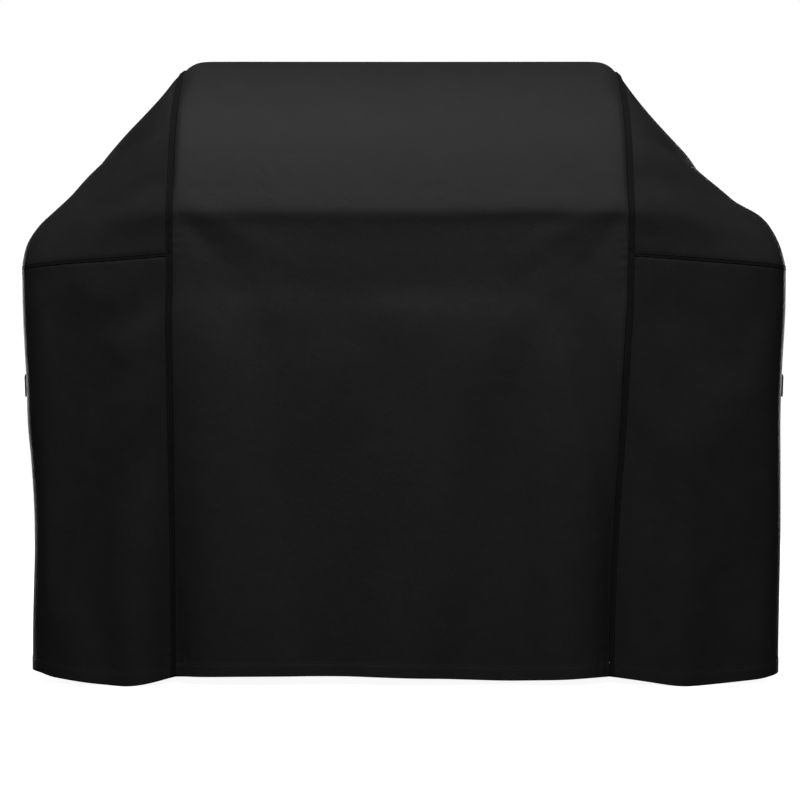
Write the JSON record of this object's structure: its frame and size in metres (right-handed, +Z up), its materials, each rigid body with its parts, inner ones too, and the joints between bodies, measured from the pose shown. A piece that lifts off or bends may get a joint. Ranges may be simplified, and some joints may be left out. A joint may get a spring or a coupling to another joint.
{
  "type": "grill cover",
  "caption": "Fitted fabric cover for a hooded barbecue with end shelves: domed centre, sloping shoulders, open hem, and a hook-and-loop strap on each end.",
  "frame": {"origin": "middle of the hem, on the plane that the hem stands on", "axes": "+Z up, front faces -Y, +X to the right as seen from the front"},
  "size_m": [1.3142, 0.6624, 1.0932],
  "materials": {
    "cloth": "matt black coated polyester weave",
    "binding": "matt black ribbed tape",
    "webbing": "black woven webbing with a slight sheen",
    "hook_tape": "rough hooks",
    "loop_tape": "soft brushed loops"
  },
  "bodies": {
    "cover": {"centre_panel": "cloth", "left_shoulder_panel": "cloth", "right_shoulder_panel": "cloth", "left_skirt_panel": "cloth", "right_skirt_panel": "cloth", "left_strap_backing": "cloth", "right_strap_backing": "cloth", "left_long_seam_binding": "binding", "right_long_seam_binding": "binding", "left_shoulder_seam_binding": "binding", "right_shoulder_seam_binding": "binding", "front_hem_tape": "binding", "back_hem_tape": "binding", "left_hem_tape": "binding", "right_hem_tape": "binding", "left_strap_anchor": "webbing", "right_strap_anchor": "webbing", "left_loop_tape": "loop_tape", "right_loop_tape": "loop_tape"},
    "left_strap": {"left_strap_root": "webbing"},
    "left_strap_tip": {"left_strap_end": "webbing", "left_hook_tape": "hook_tape"},
    "right_strap": {"right_strap_root": "webbing"},
    "right_strap_tip": {"right_strap_end": "webbing", "right_hook_tape": "hook_tape"}
  },
  "joints": [
    {"name": "left_strap_swing", "type": "hinge", "parent": "cover", "child": "left_strap", "pos_m": [-0.65495, -0.172, 0.50492], "axis": [-0.0225, 0, 0.9997], "range_deg": [0, 140]},
    {"name": "left_strap_peel", "type": "hinge", "parent": "left_strap", "child": "left_strap_tip", "pos_m": [-0.65495, 0.003, 0.50492], "axis": [-0.0225, 0, 0.9997], "range_deg": [0, 80]},
    {"name": "right_strap_swing", "type": "hinge", "parent": "cover", "child": "right_strap", "pos_m": [0.65495, -0.172, 0.50492], "axis": [-0.0225, 0, -0.9997], "range_deg": [0, 140]},
    {"name": "right_strap_peel", "type": "hinge", "parent": "right_strap", "child": "right_strap_tip", "pos_m": [0.65495, 0.003, 0.50492], "axis": [-0.0225, 0, -0.9997], "range_deg": [0, 80]}
  ]
}
